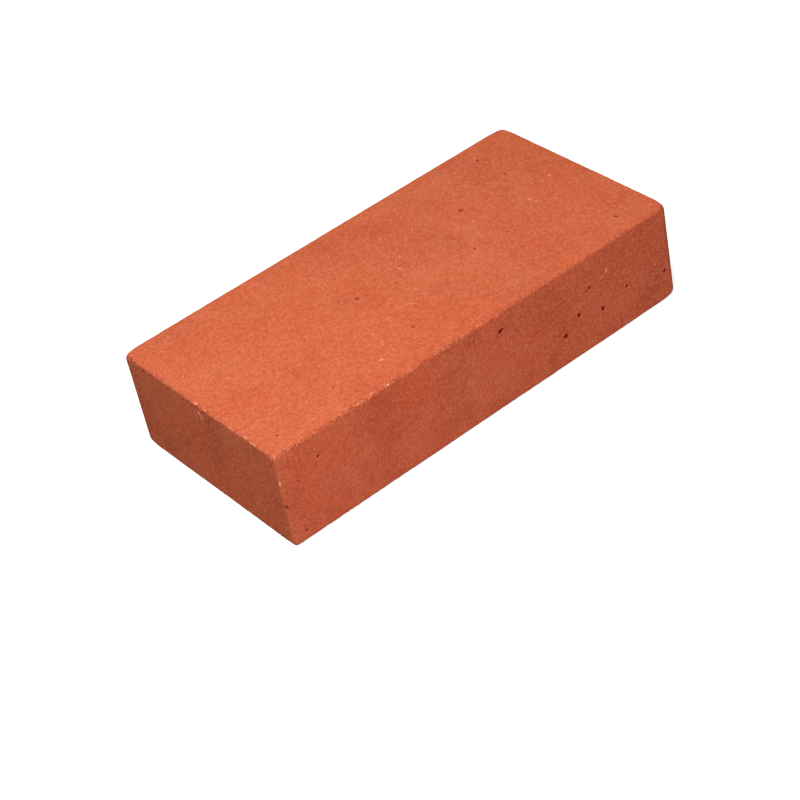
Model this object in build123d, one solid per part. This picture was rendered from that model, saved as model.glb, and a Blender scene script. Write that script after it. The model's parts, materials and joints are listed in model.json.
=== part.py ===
from build123d import *
import os

# A paving brick: one body of fired clay, solid all through, lying on its bed face.
# The origin is the middle of the bed face. X runs along the brick, Y across it and Z up.
# Sizes are in millimetres.

# Work size of the brick
LENGTH = 230.0
WIDTH = 115.0
THICKNESS = 50.0

# The mouth of the die rounds the four upright corners of the clay column.
CORNER_RADIUS = 4.0

# The wire cuts the wearing face and the bed, and handling dulls their sharp edges.
WEARING_ARRIS_RADIUS = 1.5
BED_ARRIS_RADIUS = 1.5


def cut_slice():
    """One thickness of the clay column, as the wire leaves it, standing on the bed."""
    outline = RectangleRounded(LENGTH, WIDTH, CORNER_RADIUS)
    return extrude(outline, THICKNESS)


def dull_arrises(body):
    """The slice with the edges round its wearing face and round its bed dulled."""
    wearing_face = body.faces().sort_by(Axis.Z)[-1]
    body = fillet(wearing_face.edges(), WEARING_ARRIS_RADIUS)
    bed = body.faces().sort_by(Axis.Z)[0]
    return fillet(bed.edges(), BED_ARRIS_RADIUS)


def paving_brick():
    """The whole brick as one named solid."""
    brick = dull_arrises(cut_slice())
    brick.label = "paving_brick"
    return brick


os.makedirs("parts", exist_ok=True)
export_step(paving_brick(), "parts/paving_brick.step")
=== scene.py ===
"""Looks of a fired clay paving brick: its pitted, crumbly body, the camera, the lights and the floor."""

import json
import math
import random
from typing import NamedTuple

import bpy
import numpy as np
from mathutils import Matrix, Vector, kdtree, noise

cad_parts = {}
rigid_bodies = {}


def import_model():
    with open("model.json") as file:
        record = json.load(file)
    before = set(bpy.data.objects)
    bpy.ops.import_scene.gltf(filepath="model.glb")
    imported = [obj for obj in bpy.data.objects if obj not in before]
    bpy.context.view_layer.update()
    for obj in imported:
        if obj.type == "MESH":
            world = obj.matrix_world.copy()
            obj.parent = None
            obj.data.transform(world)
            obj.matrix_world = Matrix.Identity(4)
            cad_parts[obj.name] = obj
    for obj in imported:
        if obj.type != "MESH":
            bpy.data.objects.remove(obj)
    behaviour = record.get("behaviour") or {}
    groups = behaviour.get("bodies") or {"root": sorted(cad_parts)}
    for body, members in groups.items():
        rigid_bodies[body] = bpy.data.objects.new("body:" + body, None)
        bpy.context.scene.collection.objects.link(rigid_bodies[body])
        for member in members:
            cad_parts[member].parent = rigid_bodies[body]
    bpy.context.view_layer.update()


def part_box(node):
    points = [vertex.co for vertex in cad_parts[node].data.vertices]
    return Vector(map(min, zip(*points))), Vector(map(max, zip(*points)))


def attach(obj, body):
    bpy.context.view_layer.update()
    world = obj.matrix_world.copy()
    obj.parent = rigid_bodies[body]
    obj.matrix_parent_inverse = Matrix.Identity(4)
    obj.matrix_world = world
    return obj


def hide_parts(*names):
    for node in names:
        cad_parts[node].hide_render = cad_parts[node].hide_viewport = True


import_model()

NODE = "paving_brick"
BODY = "root"
MM = 0.001  # metres in a millimetre. The brick is shaped in millimetres
LOW, HIGH = (np.array(corner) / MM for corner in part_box(NODE))
MIDDLE = (LOW + HIGH) / 2
HALF = (HIGH - LOW) / 2

# Camera, fitted to the brick's edges in the photograph
PICTURE_SIDE = 800  # pixels, the photograph's width and height
FOCAL_LENGTH = 2212.4  # pixels
SENSOR_WIDTH = 36.0  # millimetres
CAMERA_PLACE = Vector((-447.48, -695.51, 617.84))  # millimetres
CAMERA_HEADING = math.radians(32.03)  # from +Y towards +X
CAMERA_DIP = math.radians(37.57)  # below level
CAMERA_ROLL = math.radians(-12.26)
CAMERA_TURN = (
    Matrix.Rotation(-CAMERA_HEADING, 3, "Z")
    @ Matrix.Rotation(math.pi / 2 - CAMERA_DIP, 3, "X")
    @ Matrix.Rotation(CAMERA_ROLL, 3, "Z")
)

# The brick's form, in millimetres
NEAR_CORNER_RADIUS = 1.6  # the upright corner nearest the camera is the crispest
LEFT_CORNER_RADIUS = 3.3
RIGHT_CORNER_RADIUS = 4.0
FAR_CORNER_RADIUS = 3.0
ARRIS_RADIUS = 1.2
LEFT_ARRIS_RADIUS = 0.7  # the arrises of the left end, which the wire left sharper
LEFT_END_REACH = 2, 8  # from the left end to where the arrises are as elsewhere
ARRIS_WAVES = (0.15, 20), (0.10, 3)  # height and wavelength of the unevenness of the arris radius
LEAST_ARRIS = 0.5
CORNER_WEAR = 0.9  # where three arrises meet, they are rounded to this share of the corner's radius
CORNER_WEAR_REACH = 5.0

# Triangles: the longest edge that each place may have, in millimetres
START_CELL = 5.0  # the box divides into squares of this size
PLAIN_EDGE = 2.6
ARRIS_EDGE = 0.65
CRUMBLY_EDGE = 0.36
FINEST_CRUMBLE = 0.65, 0.85  # triangles shrink to CRUMBLY_EDGE between these values of crumbliness
PIT_EDGE = 0.45
ARRIS_BAND = 1.2  # how far from a sharp edge of the box the finest triangles go
ARRIS_GROWTH = 0.5  # how fast triangles may grow away from the arrises
PIT_GROWTH = 0.7  # and from the pits
PIT_BAND = 1.2  # how many of a pit's radii the finest triangles go out from its middle


class Pit(NamedTuple):
    """A pit in the clay, by the photograph's pixel where it shows, with its sizes in millimetres."""

    pixel: tuple
    width: float
    depth: float


class Fleck(NamedTuple):
    """A pale grain or a fresh chip, whose palest spots carry a painted glint, from one pixel of the
    photograph to another.
    """

    start: tuple
    end: tuple
    width: float
    depth: float
    paleness: float


FRONT_PITS = (
    Pit((501.5, 331.3), 3.0, 1.5),
    Pit((566.9, 336.6), 2.8, 1.5),
    Pit((603.8, 308.9), 2.8, 1.5),
    Pit((579.7, 315.3), 2.4, 1.2),
    Pit((589.7, 288.3), 2.2, 1.1),
    Pit((586.7, 291.8), 1.2, 0.5),
    Pit((627.3, 286.5), 1.7, 0.9),
    Pit((665.1, 270.8), 2.1, 0.8),
    Pit((537.0, 332.9), 1.7, 0.4),
    Pit((520.5, 317.6), 1.3, 0.3),
    Pit((475.0, 342.4), 1.2, 0.3),
    Pit((318.4, 456.3), 1.6, 0.9),
    Pit((298.9, 481.5), 1.5, 0.4),
    Pit((307.5, 529.9), 1.6, 0.6),
)
TOP_PITS = (
    Pit((460.4, 209.9), 2.1, 1.1),
    Pit((477.6, 160.1), 1.7, 0.7),
    Pit((505.3, 173.1), 1.4, 0.5),
    Pit((474.3, 248.1), 1.4, 0.8),
    Pit((615.7, 215.8), 1.9, 0.7),
    Pit((579.5, 177.9), 1.3, 0.6),
    Pit((507.2, 231.1), 1.5, 0.6),
    Pit((544.9, 230.8), 1.0, 0.4),
    Pit((413.0, 326.2), 1.6, 0.6),
    Pit((396.6, 282.5), 1.3, 0.5),
    Pit((463.3, 321.5), 1.2, 0.5),
    Pit((445.0, 298.0), 1.0, 0.4),
    Pit((431.7, 345.7), 1.3, 0.5),
    Pit((357.1, 298.0), 2.6, 0.45),
    Pit((276.9, 435.0), 1.4, 0.8),
    Pit((333.4, 386.6), 1.5, 0.4),
    Pit((279.7, 316.9), 1.4, 0.2),
    Pit((295.6, 316.9), 1.4, 0.2),
)
END_PITS = (
    Pit((246.1, 460.1), 1.4, 1.0),
    Pit((129.6, 359.6), 2.4, 0.7),
    Pit((133.0, 362.8), 1.6, 0.6),
    Pit((132.6, 367.0), 1.3, 0.4),
    Pit((143.2, 371.6), 2.0, 0.9),
    Pit((149.8, 375.4), 2.2, 0.9),
    Pit((175.9, 443.6), 1.3, 0.5),
    Pit((168.2, 442.2), 1.0, 0.4),
    Pit((170.6, 435.0), 1.0, 0.3),
    Pit((180.4, 442.3), 1.0, 0.4),
    Pit((286.8, 508.8), 2.2, 0.6),
)
CHIPS = (
    Fleck((278.8, 481.0), (279.4, 485.0), 1.6, 0.6, 1.0),
    Fleck((194.6, 402.9), (196.2, 403.9), 1.4, 0.3, 0.95),
    Fleck((197.2, 411.5), (200.2, 415.5), 1.4, 0.7, 1.0),
    Fleck((200.2, 415.5), (201.6, 419.0), 1.4, 0.7, 1.0),
    Fleck((193.5, 412.0), (196.5, 416.0), 0.9, 0.2, 0.5),
    Fleck((357.0, 404.2), (359.4, 402.9), 1.5, 0.4, 0.8),
    Fleck((312.8, 419.6), (314.8, 418.3), 1.2, 0.3, 0.7),
    Fleck((204.0, 409.5), (205.0, 410.5), 1.0, 0.2, 0.7),
    Fleck((215.0, 418.0), (218.0, 420.0), 0.9, 0.1, 0.6),
    Fleck((227.5, 427.3), (232.0, 429.2), 1.0, 0.2, 0.7),
    Fleck((244.5, 436.0), (246.5, 438.5), 1.0, 0.2, 0.7),
    Fleck((250.0, 442.3), (254.0, 445.5), 1.1, 0.2, 0.7),
    Fleck((272.5, 455.5), (274.5, 459.0), 1.2, 0.1, 0.7),
    Fleck((364.5, 397.5), (367.5, 395.5), 1.0, 0.2, 0.6),
    Fleck((370.5, 394.5), (372.0, 392.5), 1.0, 0.2, 0.7),
    Fleck((387.6, 384.6), (389.0, 383.8), 1.0, 0.2, 1.0),
    Fleck((402.0, 375.9), (404.0, 375.5), 1.0, 0.2, 0.7),
    Fleck((338.5, 415.5), (341.0, 414.3), 1.0, 0.2, 0.6),
    Fleck((331.5, 419.8), (333.0, 418.6), 0.9, 0.1, 0.5),
)
FLECKS = (
    Fleck((411.5, 228.5), (412.5, 231.5), 0.8, 0.05, 0.7),
    Fleck((399.0, 255.5), (400.2, 258.5), 0.9, 0.05, 0.8),
    Fleck((396.5, 267.0), (400.5, 268.8), 1.0, 0.05, 0.9),
    Fleck((402.0, 268.5), (404.3, 270.8), 0.8, 0.05, 0.8),
    Fleck((414.5, 288.0), (416.3, 289.0), 0.8, 0.05, 0.8),
    Fleck((422.0, 293.0), (426.5, 294.0), 0.8, 0.05, 0.7),
    Fleck((406.5, 304.0), (414.5, 303.0), 0.8, 0.05, 0.7),
    Fleck((384.0, 320.0), (388.0, 318.5), 0.9, 0.05, 0.8),
    Fleck((388.5, 316.5), (390.0, 320.0), 0.7, 0.05, 0.6),
    Fleck((372.0, 333.5), (374.5, 334.5), 0.9, 0.05, 0.7),
    Fleck((382.3, 340.0), (382.6, 345.0), 0.9, 0.05, 0.6),
    Fleck((324.0, 284.0), (326.5, 285.4), 0.9, 0.05, 0.6),
    Fleck((379.0, 239.0), (381.0, 237.8), 0.9, 0.05, 0.6),
    Fleck((380.4, 359.9), (381.8, 359.5), 1.7, 0.0, 1.0),
    Fleck((336.2, 359.0), (337.0, 358.8), 1.0, 0.0, 0.7),
    Fleck((355.6, 336.2), (356.4, 336.0), 1.0, 0.0, 0.6),
    Fleck((479.5, 217.5), (493.0, 214.0), 0.7, 0.05, 0.2),
    Fleck((499.0, 213.5), (521.6, 209.5), 0.7, 0.05, 0.2),
    Fleck((475.5, 231.0), (480.5, 234.5), 0.9, 0.05, 0.6),
    Fleck((528.2, 198.9), (531.0, 199.6), 1.5, 0.05, 0.9),
    Fleck((535.5, 201.6), (537.0, 201.4), 1.3, 0.05, 0.9),
    Fleck((554.6, 198.1), (555.4, 197.9), 1.6, 0.0, 0.95),
    Fleck((549.0, 175.1), (549.6, 174.9), 1.4, 0.0, 0.9),
    Fleck((606.1, 269.5), (606.3, 272.0), 1.5, 0.1, 1.0),
    Fleck((654.8, 264.4), (655.4, 264.2), 1.1, 0.0, 0.9),
    Fleck((600.5, 276.5), (601.5, 277.5), 0.9, 0.0, 0.8),
    Fleck((620.0, 281.0), (622.0, 281.5), 0.9, 0.0, 0.8),
    Fleck((566.4, 340.6), (567.2, 340.4), 0.9, 0.0, 0.7),
    Fleck((617.2, 318.3), (618.0, 318.1), 0.9, 0.0, 0.6),
    Fleck((450.2, 408.8), (451.0, 408.4), 0.9, 0.0, 0.6),
    Fleck((445.4, 416.7), (446.2, 416.5), 0.9, 0.0, 0.6),
    Fleck((488.0, 400.9), (488.8, 400.5), 0.9, 0.0, 0.6),
)


def seen_at(pixel):
    """The point of the brick's box, in millimetres, that the photograph shows at a pixel."""
    across, down = pixel
    half = PICTURE_SIDE / 2
    ray = CAMERA_TURN @ Vector(((across - half) / FOCAL_LENGTH, (half - down) / FOCAL_LENGTH, -1))
    near_planes = (LOW[0], LOW[1], HIGH[2])
    travel = max((near_planes[i] - CAMERA_PLACE[i]) / ray[i] for i in range(3))
    return CAMERA_PLACE + ray * travel


def noise_at(points, wavelength, seed):
    """Smooth noise from -1 to 1 at each point, a different one for each seed."""
    shift = Vector((17.3 * seed, 5.1 * seed, 11.7 * seed))
    return np.array([noise.noise(Vector(p) / wavelength + shift) for p in points])


def box_surface():
    """The box's faces as squares cut in two: points, and triangles that list their longest edge first."""
    cells = np.round((HIGH - LOW) / START_CELL).astype(int)
    number = {}
    triangles = []
    for axis in range(3):
        u, v = (axis + 1) % 3, (axis + 2) % 3
        for side in (0, cells[axis]):
            for i in range(cells[u]):
                for j in range(cells[v]):
                    square = []
                    for di, dj in ((0, 0), (1, 0), (1, 1), (0, 1)):
                        place = [0, 0, 0]
                        place[axis], place[u], place[v] = side, i + di, j + dj
                        square.append(number.setdefault(tuple(place), len(number)))
                    if side == 0:
                        square.reverse()
                    a, b, c, d = square
                    triangles += [(c, a, b), (a, c, d)]
    points = LOW + np.array(list(number)) / cells * (HIGH - LOW)
    return points, np.array(triangles)


KEY_STEP = 1 << 31


def edge_keys(one, other):
    """One number for each edge, the same from both ends."""
    low = np.minimum(one, other).astype(np.int64)
    return low * KEY_STEP + np.maximum(one, other)


def with_longer_edges(triangles, marked):
    """Adds the longest edge of each triangle that has a marked edge, until no more are added."""
    first, second, tip = triangles.T
    longest = edge_keys(first, second)
    while True:
        touched = np.isin(edge_keys(second, tip), marked) | np.isin(edge_keys(tip, first), marked)
        more = np.setdiff1d(longest[touched], marked)
        if not len(more):
            return marked
        marked = np.union1d(marked, more)


def split_edges(points, triangles, marked):
    """Cuts every marked edge at its middle, with the triangles on both sides of it."""
    first_new = len(points)
    middles = (points[marked // KEY_STEP] + points[marked % KEY_STEP]) / 2
    points = np.vstack([points, middles])
    while True:
        first, second, tip = triangles.T
        keys = edge_keys(first, second)
        spot = np.searchsorted(marked, keys).clip(max=len(marked) - 1)
        hit = marked[spot] == keys
        if not hit.any():
            return points, triangles
        a, b, c = triangles[hit].T
        middle = first_new + spot[hit]
        triangles = np.vstack([triangles[~hit], np.c_[c, a, middle], np.c_[b, c, middle]])


def refined(points, triangles, longest_allowed):
    """Splits triangles until no edge is longer than longest_allowed says for its middle."""
    while True:
        first, second = triangles[:, 0], triangles[:, 1]
        keys, sample = np.unique(edge_keys(first, second), return_index=True)
        one, other = points[first[sample]], points[second[sample]]
        lengths = np.linalg.norm(one - other, axis=1)
        marked = keys[lengths > longest_allowed((one + other) / 2)]
        if not len(marked):
            return points, triangles
        points, triangles = split_edges(points, triangles, with_longer_edges(triangles, marked))


def arris_distance(points):
    """How far each point of the box's surface is from the nearest sharp edge of the box."""
    return np.sort(np.hstack([points - LOW, HIGH - points]), axis=1)[:, 1]


CUT_EDGE_CRUMBLE = 0.5, 1.3  # how much the edges of the two wire-cut faces crumble, and how far in
UPRIGHT_EDGE_CRUMBLE = 0.4, 1.6
WORST_EDGE_CRUMBLE = 1.0, 0.5  # at the left and at the right
WORST_EDGE_FADES = -30, 60  # from where to where along the brick it lessens
WORST_EDGE_REACH = 1.1, 1.6  # at the left end and elsewhere


def fading_in(distance, reach):
    """From 1 at an edge to 0 well past a reach from it."""
    return np.exp(-((distance / reach) ** 2))


def crumbliness(points):
    """From 0 on plain faces to 1 on the wearing face's edges at the near left, which crumble most."""
    from_planes = np.minimum(points - LOW, HIGH - points)
    from_cut_edge = np.maximum(from_planes[:, :2].min(axis=1), from_planes[:, 2])
    share, reach = CUT_EDGE_CRUMBLE
    by_cut_edge = share * fading_in(from_cut_edge, reach)
    from_upright_edge = from_planes[:, :2].max(axis=1)
    share, reach = UPRIGHT_EDGE_CRUMBLE
    by_upright_edge = share * fading_in(from_upright_edge, reach)
    from_low = points - LOW
    from_worst_edge = np.maximum(from_low[:, :2].min(axis=1), HIGH[2] - points[:, 2])
    share = np.interp(points[:, 0], WORST_EDGE_FADES, WORST_EDGE_CRUMBLE)
    reach = np.interp(from_low[:, 0], LEFT_END_REACH, WORST_EDGE_REACH)
    by_worst_edge = share * fading_in(from_worst_edge, reach)
    return np.maximum(np.maximum(by_cut_edge, by_upright_edge), by_worst_edge)


def corner_distance(points):
    """How far each point of the box's surface is from the nearest corner of the box."""
    return np.linalg.norm(np.minimum(points - LOW, HIGH - points), axis=1)


def nearest(tree, points):
    """The number of the nearest entry of a tree to each point, and its distance."""
    found = [tree.find(p) for p in points]
    return np.array([f[1] for f in found]), np.array([f[2] for f in found])


def tree_of(points):
    tree = kdtree.KDTree(len(points))
    for number, point in enumerate(points):
        tree.insert(point, number)
    tree.balance()
    return tree


def corner_radius(points):
    """The radius of the upright corner that is nearest to each point."""
    left, near = points[:, 0] < MIDDLE[0], points[:, 1] < MIDDLE[1]
    near_side = np.where(left, NEAR_CORNER_RADIUS, RIGHT_CORNER_RADIUS)
    far_side = np.where(left, LEFT_CORNER_RADIUS, FAR_CORNER_RADIUS)
    return np.where(near, near_side, far_side)


def arris_radius(points):
    """The radius of the brick's arris nearest to each point: uneven, and worn rounder at the corners."""
    from_left_end = points[:, 0] - LOW[0]
    arris = np.interp(from_left_end, LEFT_END_REACH, (LEFT_ARRIS_RADIUS, ARRIS_RADIUS))
    for seed, (height, wavelength) in enumerate(ARRIS_WAVES, start=1):
        arris += height * noise_at(points, wavelength, seed)
    at_corner = CORNER_WEAR * corner_radius(points)
    wear = fading_in(corner_distance(points), CORNER_WEAR_REACH)
    return np.clip(arris + (at_corner - arris) * wear, LEAST_ARRIS, at_corner)


TINY = 1e-9  # put in place of a length of 0 that something is divided by


def rounded(points):
    """Moves points of the box's surface onto the brick's rounded form."""
    radius, arris = corner_radius(points), arris_radius(points)
    offset = points - MIDDLE
    core = HALF[:2] - radius[:, None]
    inner = np.clip(offset[:, :2], -core, core)
    out = offset[:, :2] - inner
    outward = out / np.maximum(np.linalg.norm(out, axis=1), TINY)[:, None]
    reach = np.abs(out).max(axis=1)
    height = np.abs(offset[:, 2])
    from_outline = radius - reach
    from_cut_face = HALF[2] - height
    sideways = np.clip(arris - from_outline, 0, None)
    upwards = np.clip(arris - from_cut_face, 0, None)
    on_arris = (sideways > 0) & (upwards > 0)
    scale = np.maximum(sideways, upwards) / np.maximum(np.hypot(sideways, upwards), TINY)
    new_reach = np.where(on_arris, radius - arris + sideways * scale, reach)
    new_height = np.where(on_arris, HALF[2] - arris + upwards * scale, height)
    moved = np.empty_like(points)
    moved[:, :2] = inner + outward * new_reach[:, None]
    moved[:, 2] = np.copysign(new_height, offset[:, 2])
    return moved + MIDDLE


def vertex_normals(points, triangles):
    corners = points[triangles]
    facing = np.cross(corners[:, 1] - corners[:, 0], corners[:, 2] - corners[:, 0])
    normals = np.zeros_like(points)
    for corner in range(3):
        np.add.at(normals, triangles[:, corner], facing)
    return normals / np.linalg.norm(normals, axis=1)[:, None]


SEED = 11  # of the random draws for the small pits
SMALL_PITS = 300
SMALL_PIT_WIDTH = 0.5, 1.0  # millimetres
SMALL_PIT_STEEPNESS = 0.4, 0.7  # depth as a share of the width


def scattered_pits():
    """Small pits all over the brick, as places on the box, widths and depths."""
    rng = random.Random(SEED)
    size = HIGH - LOW
    areas = [size[1] * size[2], size[2] * size[0], size[0] * size[1]]
    pits = []
    for _ in range(SMALL_PITS):
        axis = rng.choices(range(3), areas)[0]
        place = [rng.uniform(LOW[i], HIGH[i]) for i in range(3)]
        place[axis] = (LOW if rng.random() < 0.5 else HIGH)[axis]
        least, most = SMALL_PIT_WIDTH
        width = least + (most - least) * rng.random() ** 3
        pits.append((Vector(place), width, width * rng.uniform(*SMALL_PIT_STEEPNESS)))
    return pits


SPOT_SPACING = 0.4  # of the spots that make up a fleck, as a share of its width


def spots_of(flecks):
    """Each fleck as a row of round spots: places on the box, widths, depths and paleness."""
    spots = []
    for fleck in flecks:
        start, end = seen_at(fleck.start), seen_at(fleck.end)
        steps = max(1, round((end - start).length / (SPOT_SPACING * fleck.width)))
        for step in range(steps + 1):
            spots.append((start.lerp(end, step / steps), fleck.width, fleck.depth, fleck.paleness))
    return spots


def fine_box(pits, pale_spots):
    """The box as triangles, smallest at its crumbly edges and round its pits and pale spots."""
    pit_tree = tree_of([pit[0] for pit in pits] + [spot[0] for spot in pale_spots])
    pit_reach = np.array([pit[1] / 2 for pit in pits] + [spot[1] / 2 for spot in pale_spots])

    def longest_allowed(places):
        by_arris = np.interp(crumbliness(places), FINEST_CRUMBLE, (ARRIS_EDGE, CRUMBLY_EDGE))
        by_arris += ARRIS_GROWTH * np.clip(arris_distance(places) - ARRIS_BAND, 0, None)
        which, distance = nearest(pit_tree, places)
        from_rim = np.clip(distance - PIT_BAND * pit_reach[which], 0, None)
        return np.minimum(np.minimum(by_arris, PIT_EDGE + PIT_GROWTH * from_rim), PLAIN_EDGE)

    points, triangles = box_surface()
    return refined(points, triangles, longest_allowed)


# Relief that runs all over the brick, in millimetres
FACE_WAVES = (0.05, 35), (0.02, 8)  # height and wavelength of the unevenness of the faces
BITES = 0.2, 2, 1.5  # middle, height and wavelength of the noise that says where crumbs are gone
BITTEN_STRETCHES = 0.6, 1.3, 9  # and of the noise that says along which stretches of an edge
BITE_DEPTH = 0.5
CRUMBLE_DEPTH = 0.15
CRUMBLE_WAVELENGTH = 3
RAGGED_WAVELENGTH = 0.8
RAGGEDNESS = 0.35  # how far a pit's rim strays, as a share of its radius

# How the relief is coloured, with painted shade in its pits and bites
BITE_SHADE = 0.35  # how much of a pit's painted shade a bite has
FULL_SHADE_DEPTH = 0.8  # a pit of this depth or more has the most painted shade
RIM_STEEPNESS = 1.6  # how fast the colour of a pit or pale spot grows from its rim


def held_noise(points, middle, height, wavelength, seed):
    """Smooth noise about a middle, held between 0 and 1."""
    return np.clip(middle + height * noise_at(points, wavelength, seed), 0, 1)


def bites_at(points, crumbly):
    """From 0 to 1, how far crumbs have come away from the edges."""
    bites = held_noise(points, *BITES, seed=5)
    return bites * crumbly**2 * held_noise(points, *BITTEN_STRETCHES, seed=8)


def relief_depth(points, crumbly, bites):
    """How deep each point lies below the rounded form, before the pits."""
    depth = BITE_DEPTH * bites
    for seed, (height, wavelength) in enumerate(FACE_WAVES, start=3):
        depth += height * (1 + noise_at(points, wavelength, seed))
    crumbled = crumbly**2 * np.clip(noise_at(points, CRUMBLE_WAVELENGTH, 6), 0, None)
    return depth + CRUMBLE_DEPTH * crumbled


def spot_shares(tree, ragged, place, width):
    """The points in a round spot, each with its share of the depth: 1 in the middle and 0 at the rim."""
    for _, number, distance in tree.find_range(place, width):
        away = distance / (width / 2) + ragged[number]
        yield number, max(0.0, 1 - away**2)


def clay_mesh():
    """The clay body as a mesh, with its pits, crumbly edges and the values that its colours need."""
    seen = FRONT_PITS + TOP_PITS + END_PITS
    pits = [(seen_at(pit.pixel), pit.width, pit.depth) for pit in seen] + scattered_pits()
    pale_spots = spots_of(CHIPS + FLECKS)
    box_points, triangles = fine_box(pits, pale_spots)
    points = rounded(box_points)
    normals = vertex_normals(points, triangles)

    crumbly = crumbliness(box_points)
    bites = bites_at(points, crumbly)
    depth = relief_depth(points, crumbly, bites)
    # painted shade where crumbs have come away; the pits' painted shade is added below
    painted_pit_shade = BITE_SHADE * bites
    pale = np.zeros(len(points))
    tree = tree_of(box_points)
    ragged = RAGGEDNESS * noise_at(points, RAGGED_WAVELENGTH, 7)
    # each pit is sunk, and gets painted shade that deepens with its depth
    for place, width, pit_depth in pits:
        pit_shade_share = min(1.0, pit_depth / FULL_SHADE_DEPTH)
        for number, share in spot_shares(tree, ragged, place, width):
            depth[number] += pit_depth * share
            painted_pit_shade[number] = max(painted_pit_shade[number], pit_shade_share * min(1.0, RIM_STEEPNESS * share))
    for place, width, chip_depth, paleness in pale_spots:
        for number, share in spot_shares(tree, ragged, place, width):
            depth[number] = max(depth[number], chip_depth * share)
            pale[number] = max(pale[number], paleness * min(1.0, RIM_STEEPNESS * share))
    points = np.clip(points - normals * depth[:, None], LOW, HIGH)

    mesh = bpy.data.meshes.new("fired_clay_body")
    mesh.from_pydata(points * MM, [], triangles)
    mesh.polygons.foreach_set("use_smooth", [True] * len(mesh.polygons))
    values_by_name = {
        "painted_pit_shade": painted_pit_shade,
        "pale": pale,
        "crumbly": crumbly,
        "upright": 1 - np.abs(normals[:, 2]),
        "die_skin": np.abs(normals[:, 1]),
    }
    for name, values in values_by_name.items():
        mesh.attributes.new(name, "FLOAT", "POINT").data.foreach_set("value", values)
    mesh.validate()
    print("clay body:", len(mesh.vertices), "vertices,", len(mesh.polygons), "triangles")
    return mesh


CELL_WOBBLE = 0.9  # how far the outline of a cell strays, as a share of its size


class Nodes:
    """Makes a material's nodes. An input is given a number, a colour or another node's output."""

    def __init__(self, material):
        material.use_nodes = True
        self.tree = material.node_tree
        self.tree.nodes.clear()

    def add(self, kind, inputs, **settings):
        made = self.tree.nodes.new("ShaderNode" + kind)
        for name, value in settings.items():
            setattr(made, name, value)
        for name, value in inputs.items():
            if isinstance(value, bpy.types.NodeSocket):
                self.tree.links.new(value, made.inputs[name])
            else:
                made.inputs[name].default_value = value
        return made

    def attribute(self, name):
        return self.add("Attribute", {}, attribute_name=name).outputs["Fac"]

    def object_place(self):
        return self.add("TexCoord", {}).outputs["Object"]

    def noise(self, wavelength, detail, roughness, seed=0):
        """Noise about 0.5, with a wavelength in millimetres."""
        moved = self.add("VectorMath", {0: self.object_place(), 1: (seed, 0, 0)}, operation="ADD")
        inputs = {
            "Vector": moved.outputs["Vector"],
            "Scale": 1 / (wavelength * MM),
            "Detail": detail,
            "Roughness": roughness,
        }
        return self.add("TexNoise", inputs).outputs["Fac"]

    def cells(self, size):
        """Ragged cells of a size in millimetres: how far the nearest one's middle is, and its shade."""
        place = self.object_place()
        wobble = self.add("TexNoise", {"Vector": place, "Scale": 2 / (size * MM)}).outputs["Color"]
        wobble_reach = [CELL_WOBBLE * size * MM] * 3
        ragged = self.add("VectorMath", {0: wobble, 1: wobble_reach, 2: place}, operation="MULTIPLY_ADD")
        made = self.add("TexVoronoi", {"Vector": ragged.outputs["Vector"], "Scale": 1 / (size * MM)})
        return made.outputs["Distance"], made.outputs["Color"]

    def math(self, operation, one, other=0.0):
        made = self.add("Math", {0: one, 1: other}, operation=operation)
        return made.outputs[0]

    def span(self, value, low, high, to_low=0.0, to_high=1.0):
        """Maps low..high to to_low..to_high, held at both ends."""
        inputs = {"Value": value, "From Min": low, "From Max": high, "To Min": to_low, "To Max": to_high}
        return self.add("MapRange", inputs).outputs["Result"]

    def mix(self, share, one, other):
        inputs = {"Fac": share, "Color1": one, "Color2": other}
        return self.add("MixRGB", inputs).outputs["Color"]


# Colours of the fired clay, linear
CLAY = (0.66, 0.147, 0.0615, 1)
CLAY_REDDER = (0.67, 0.104, 0.038, 1)
CLAY_SKIN = (0.66, 0.112, 0.051, 1)
# darker clay for the crumbly edges: partly broken clay, partly painted shade that takes out the lit band
# of the rounded arrises
CLAY_BROKEN_AND_SHADED = (0.50, 0.098, 0.040, 1)
CLAY_DARK = (0.30, 0.045, 0.018, 1)
GRAIN_DARK = (0.37, 0.048, 0.017, 1)
CLAY_PALE = (0.90, 0.31, 0.17, 1)
# the painted shade inside the pits and bites
PIT_SHADE_RED = (0.17, 0.006, 0.001, 1)
PALE_CRUMB = (0.94, 0.33, 0.19, 1)
# fresh chips: partly paler broken clay, partly a painted glint
CHIP_AND_GLINT = (0.96, 0.54, 0.38, 1)


class Patches(NamedTuple):
    """Large soft patches of a colour, where smooth noise passes a level."""

    colour: tuple
    wavelength: float  # millimetres
    roughness: float
    start: float  # the level of the noise from which on the colour shows
    full: float  # and at which it shows most
    share: float  # how much of it shows there
    on_cut_faces: float  # and what part of that on the wearing face and the bed


PATCHES = (
    Patches(CLAY_REDDER, 30, 0.75, 0.35, 0.65, 0.55, 1.0),
    Patches(CLAY_DARK, 30, 0.68, 0.47, 0.75, 0.5, 0.55),
    Patches(CLAY_PALE, 26, 0.75, 0.45, 0.75, 0.22, 0.55),
)
SKIN_SHARE = 0.85  # how much of the skin's colour the two long sides have

# Grains of sand. Wavelengths and sizes of cells are in millimetres, here and below
GRAIN_WAVELENGTH = 1.4
GRAIN_CELL = 0.8
CELL_SHARE = 0.3  # the part of a grain's shade that comes from its cell, with the rest from noise
PALE_GRAINS = 0.44, 0.80, 0, 0.83  # from one shade to another, and how much of the colour shows there
DARK_GRAINS = 0.55, 0.22, 0, 0.65
END_CONTRAST = 0.76  # how much the grains stand out on the two ends
SKIN_SMOOTHNESS = 0.26, 0.04  # how much less they do on the long sides, at their left and their right
CUT_FACE_CONTRAST = 0.55
CRUMBLY_CONTRAST = 0.8

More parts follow.
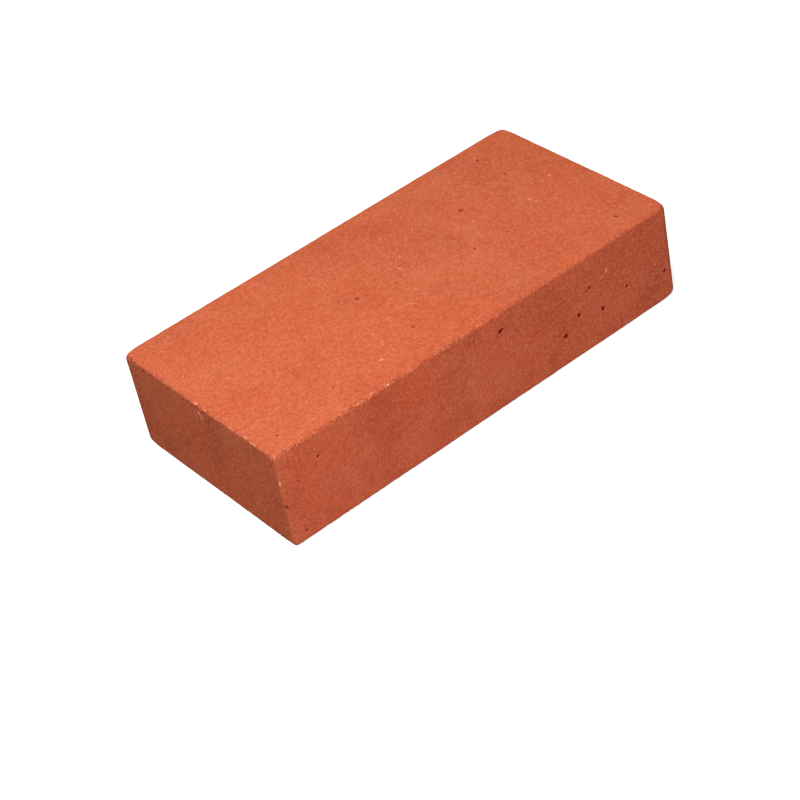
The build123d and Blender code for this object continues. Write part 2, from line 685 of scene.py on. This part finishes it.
# Pale specks
SPECK_CELL = 2.2
SPECKED_CELLS = 0.55, 0.95  # the shade of the cells with the smallest and with the largest specks
SPECK_PATCH_WAVELENGTH = 24
SPECK_PATCHES = 0.46, 0.66, 0.12, 0.5  # from one level of noise to another, and the specks' reach there
SPECK_SOFTNESS = 0.15
SPECK_SHARE = 0.55  # how much of the pale colour a speck has

# Crumbs along the edges, and painted shade in the gaps between them
CRUMB_WAVELENGTH = 1.1
CRUMB_ROW_WAVELENGTH = 12
CRUMB_ROWS = 0.4, 0.65, 0.25  # from one level of noise to another, and the pale crumbs' share at first
PALE_CRUMBS = 0.55, 0.7  # the shade from which on a crumb is pale, and at which it is palest
PALE_CRUMB_SHARE = 0.6
# the crumb shades from which on, and at which most, the gaps between crumbs get painted shade
CRUMB_GAP_SHADES = 0.45, 0.3
CRUMB_GAP_SHADE_SHARE = 0.75
BROKEN_AND_SHADE_SHARE = 0.9  # how much of the broken clay's colour the most crumbly edges have; it is partly broken clay and partly painted shade, which keeps the rounded edges from showing a lit band

# Flecks and chips
FLECK_SHARES = 0.3, 0.6, 0.4, 0.85  # from one shade of crumb to another, and how pale a fleck is there
CHIP_GLINT_PALENESS = 0.65, 0.85  # between these values of paleness a fleck turns to the fresh chip's colour, which is partly paler broken clay and partly a painted glint

# The surface
ROUGHNESS = 0.2, 0.8, 0.95, 0.82  # from one shade of grain to another, and how rough it is there
SPECULAR = 0.02
SPECK_HEIGHT = 0.6  # against that of the grains
BUMP_STRENGTH = 0.14
BUMP_DISTANCE = 0.3


def mottled_clay(nodes, upright, die_skin):
    """Bare clay in large soft patches, redder where the die smoothed it."""
    colour = nodes.mix(nodes.math("MULTIPLY", die_skin, SKIN_SHARE), CLAY, CLAY_SKIN)
    for seed, patches in enumerate(PATCHES):
        level = nodes.noise(patches.wavelength, detail=5, roughness=patches.roughness, seed=seed)
        share = nodes.span(level, patches.start, patches.full, 0, patches.share)
        by_face = nodes.span(upright, 0, 1, patches.on_cut_faces, 1)
        colour = nodes.mix(nodes.math("MULTIPLY", share, by_face), colour, patches.colour)
    return colour


def grain_shade(nodes):
    """The shade of the sand grains, about 0.5."""
    _, cell_shade = nodes.cells(GRAIN_CELL)
    by_cell = nodes.math("MULTIPLY", cell_shade, CELL_SHARE)
    smooth_grain = nodes.noise(GRAIN_WAVELENGTH, detail=3, roughness=0.7)
    return nodes.math("ADD", nodes.math("MULTIPLY", smooth_grain, 1 - CELL_SHARE), by_cell)


def grain_contrast(nodes, upright, die_skin, crumbly):
    """How much the grains stand out: most on the ends, at crumbly edges and at the sides' right."""
    along = nodes.add("SeparateXYZ", {"Vector": nodes.object_place()}).outputs["X"]
    smoothness = nodes.span(along, LOW[0] * MM, HIGH[0] * MM, *SKIN_SMOOTHNESS)
    smoother = nodes.math("MULTIPLY", die_skin, smoothness)
    on_uprights = nodes.math("SUBTRACT", nodes.math("MULTIPLY", upright, END_CONTRAST), smoother)
    elsewhere = nodes.span(crumbly, 0, 1, CUT_FACE_CONTRAST, CRUMBLY_CONTRAST)
    return nodes.math("MAXIMUM", elsewhere, on_uprights)


def grained(nodes, colour, grain, contrast):
    """A colour with pale and dark grains of sand in it."""
    pale_grain = nodes.math("MULTIPLY", nodes.span(grain, *PALE_GRAINS), contrast)
    dark_grain = nodes.math("MULTIPLY", nodes.span(grain, *DARK_GRAINS), contrast)
    colour = nodes.mix(pale_grain, colour, CLAY_PALE)
    return nodes.mix(dark_grain, colour, GRAIN_DARK)


def specks(nodes):
    """Pale specks that gather in patches: 1 in a speck and 0 between them."""
    distance, shade = nodes.cells(SPECK_CELL)
    level = nodes.noise(SPECK_PATCH_WAVELENGTH, detail=3, roughness=0.6, seed=3)
    most = nodes.span(level, *SPECK_PATCHES)
    reach = nodes.math("MULTIPLY", nodes.span(shade, *SPECKED_CELLS), most)
    return nodes.span(nodes.math("SUBTRACT", reach, distance), 0, SPECK_SOFTNESS)


def crumbled(nodes, colour, crumb, crumbly):
    """A colour with pale crumbs in it along the edges, and dark spots of painted shade in the gaps
    between them.
    """
    level = nodes.noise(CRUMB_ROW_WAVELENGTH, detail=2, roughness=0.5, seed=4)
    crumb_rows = nodes.math("MULTIPLY", nodes.span(level, *CRUMB_ROWS), crumbly)
    pale_crumb = nodes.math("MULTIPLY", nodes.span(crumb, *PALE_CRUMBS), crumb_rows)
    crumb_gap_shade = nodes.math("MULTIPLY", nodes.span(crumb, *CRUMB_GAP_SHADES), crumbly)
    colour = nodes.mix(nodes.math("MULTIPLY", pale_crumb, PALE_CRUMB_SHARE), colour, PALE_CRUMB)
    # dark spots of painted shade in the gaps between crumbs
    return nodes.mix(nodes.math("MULTIPLY", crumb_gap_shade, CRUMB_GAP_SHADE_SHARE), colour, CLAY_DARK)


def clay_material():
    """Sandy red clay: mottled, grainy, with pale specks, and painted shade in its pinholes."""
    material = bpy.data.materials.new("fired_clay")
    nodes = Nodes(material)
    upright = nodes.attribute("upright")
    die_skin = nodes.attribute("die_skin")
    crumbly = nodes.attribute("crumbly")

    colour = mottled_clay(nodes, upright, die_skin)
    # partly broken clay, partly painted shade along the crumbly edges
    colour = nodes.mix(nodes.math("MULTIPLY", crumbly, BROKEN_AND_SHADE_SHARE), colour, CLAY_BROKEN_AND_SHADED)
    grain = grain_shade(nodes)
    colour = grained(nodes, colour, grain, grain_contrast(nodes, upright, die_skin, crumbly))
    speck = specks(nodes)
    colour = nodes.mix(nodes.math("MULTIPLY", speck, SPECK_SHARE), colour, PALE_CRUMB)
    crumb = nodes.noise(CRUMB_WAVELENGTH, detail=2, roughness=0.6)
    colour = crumbled(nodes, colour, crumb, crumbly)
    paleness = nodes.math("MULTIPLY", nodes.attribute("pale"), nodes.span(crumb, *FLECK_SHARES))
    colour = nodes.mix(paleness, colour, PALE_CRUMB)
    # the palest flecks carry a painted glint as well as paler broken clay
    colour = nodes.mix(nodes.span(paleness, *CHIP_GLINT_PALENESS), colour, CHIP_AND_GLINT)
    # painted shade in the pits and where crumbs have come away
    colour = nodes.mix(nodes.attribute("painted_pit_shade"), colour, PIT_SHADE_RED)

    bump_height = nodes.math("ADD", grain, nodes.math("MULTIPLY", speck, SPECK_HEIGHT))
    bump_inputs = {"Height": bump_height, "Strength": BUMP_STRENGTH, "Distance": BUMP_DISTANCE * MM}
    shader_inputs = {
        "Base Color": colour,
        "Roughness": nodes.span(grain, *ROUGHNESS),
        "Specular IOR Level": SPECULAR,
        "Normal": nodes.add("Bump", bump_inputs).outputs["Normal"],
    }
    shader = nodes.add("BsdfPrincipled", shader_inputs)
    nodes.add("OutputMaterial", {"Surface": shader.outputs["BSDF"]})
    return material


def clay_body():
    """The clay body in place of the plain solid."""
    body = bpy.data.objects.new("clay_body", clay_mesh())
    bpy.context.scene.collection.objects.link(body)
    body.data.materials.append(clay_material())
    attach(body, BODY)
    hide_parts(NODE)


FLOOR_REACH = 6.0  # metres from the brick to each side of the floor
SHADOW_REACH = 0.35, 0.9  # metres from the brick: between them the floor turns plain white
FLOOR_COLOUR = (0.95, 0.95, 0.95, 1)
FLOOR_BOUNCE = (0.13, 0.12, 0.12, 1)  # what the brick gets back from the floor
FLOOR_GLOW = 0.6  # lifts the floor to the photograph's white, and leaves a faint shadow
WHITE = (1, 1, 1, 1)


def seen_directly(nodes):
    """1 for rays from the camera, 0 for the light that falls on the brick."""
    return nodes.add("LightPath", {}).outputs["Is Camera Ray"]


def floor():
    """A pale floor with the brick's shadow, plain white further away and clear from below."""
    material = bpy.data.materials.new("floor")
    nodes = Nodes(material)
    distance = nodes.add("VectorMath", {0: nodes.object_place()}, operation="LENGTH").outputs["Value"]
    far = nodes.span(distance, *SHADOW_REACH)
    direct = seen_directly(nodes)
    white = nodes.add("Emission", {"Color": WHITE}).outputs[0]
    near_colour = nodes.mix(direct, FLOOR_BOUNCE, FLOOR_COLOUR)
    lit = nodes.add("BsdfDiffuse", {"Color": near_colour}).outputs[0]
    glow_strength = nodes.math("MULTIPLY", direct, FLOOR_GLOW)
    glow = nodes.add("Emission", {"Color": WHITE, "Strength": glow_strength}).outputs[0]
    near = nodes.add("AddShader", {0: lit, 1: glow}).outputs[0]
    whiteness = nodes.math("MULTIPLY", far, direct)
    surface = nodes.add("MixShader", {0: whiteness, 1: near, 2: white}).outputs[0]
    clear = nodes.add("BsdfTransparent", {}).outputs[0]
    below = nodes.add("NewGeometry", {}).outputs["Backfacing"]
    shown = nodes.add("MixShader", {0: below, 1: surface, 2: clear}).outputs[0]
    nodes.add("OutputMaterial", {"Surface": shown})

    mesh = bpy.data.meshes.new("floor")
    sides = (-FLOOR_REACH, FLOOR_REACH)
    mesh.from_pydata([(x, y, 0) for x in sides for y in sides], [], [(0, 2, 3, 1)])
    mesh.materials.append(material)
    plane = bpy.data.objects.new("floor", mesh)
    bpy.context.scene.collection.objects.link(plane)


AMBIENT = 0.23  # the strength of the even light from all round


class Lamp(NamedTuple):
    """A square soft lamp aimed at the brick, placed by its direction and distance from it."""

    name: str
    heading: float  # degrees from -Y towards +X
    height: float  # degrees above level
    distance: float  # metres
    size: float  # metres
    power: float  # watts


LAMPS = (
    Lamp("key", -58, 65, 0.8, 0.5, 4.8),
    Lamp("front_fill", -24, 20, 0.8, 0.5, 2.58),
    Lamp("back_fill", 150, 6, 1.5, 0.6, 4.0),
)


def world():
    """White behind everything, and an even, softer light from all round."""
    made = bpy.data.worlds.new("studio")
    bpy.context.scene.world = made
    nodes = Nodes(made)
    strength = nodes.span(seen_directly(nodes), 0, 1, AMBIENT, 1)
    background = nodes.add("Background", {"Color": WHITE, "Strength": strength})
    nodes.add("OutputWorld", {"Surface": background.outputs[0]})


def add_lamp(lamp):
    data = bpy.data.lights.new(lamp.name, "AREA")
    data.size = lamp.size
    data.energy = lamp.power
    made = bpy.data.objects.new(lamp.name, data)
    heading, height = math.radians(lamp.heading), math.radians(lamp.height)
    level = lamp.distance * math.cos(height)
    above = lamp.distance * math.sin(height)
    place = Vector((level * math.sin(heading), -level * math.cos(heading), above))
    made.location = place
    made.rotation_euler = (-place).to_track_quat("-Z", "Y").to_euler()
    made.visible_camera = False
    bpy.context.scene.collection.objects.link(made)


def camera():
    """The photograph's view."""
    data = bpy.data.cameras.new("camera")
    data.sensor_width = SENSOR_WIDTH
    data.lens = FOCAL_LENGTH / PICTURE_SIDE * SENSOR_WIDTH
    made = bpy.data.objects.new("camera", data)
    made.matrix_world = Matrix.Translation(CAMERA_PLACE * MM) @ CAMERA_TURN.to_4x4()
    bpy.context.scene.collection.objects.link(made)
    bpy.context.scene.camera = made


camera()
clay_body()
floor()
world()
for lamp in LAMPS:
    add_lamp(lamp)
bpy.context.scene.view_settings.view_transform = "Standard"
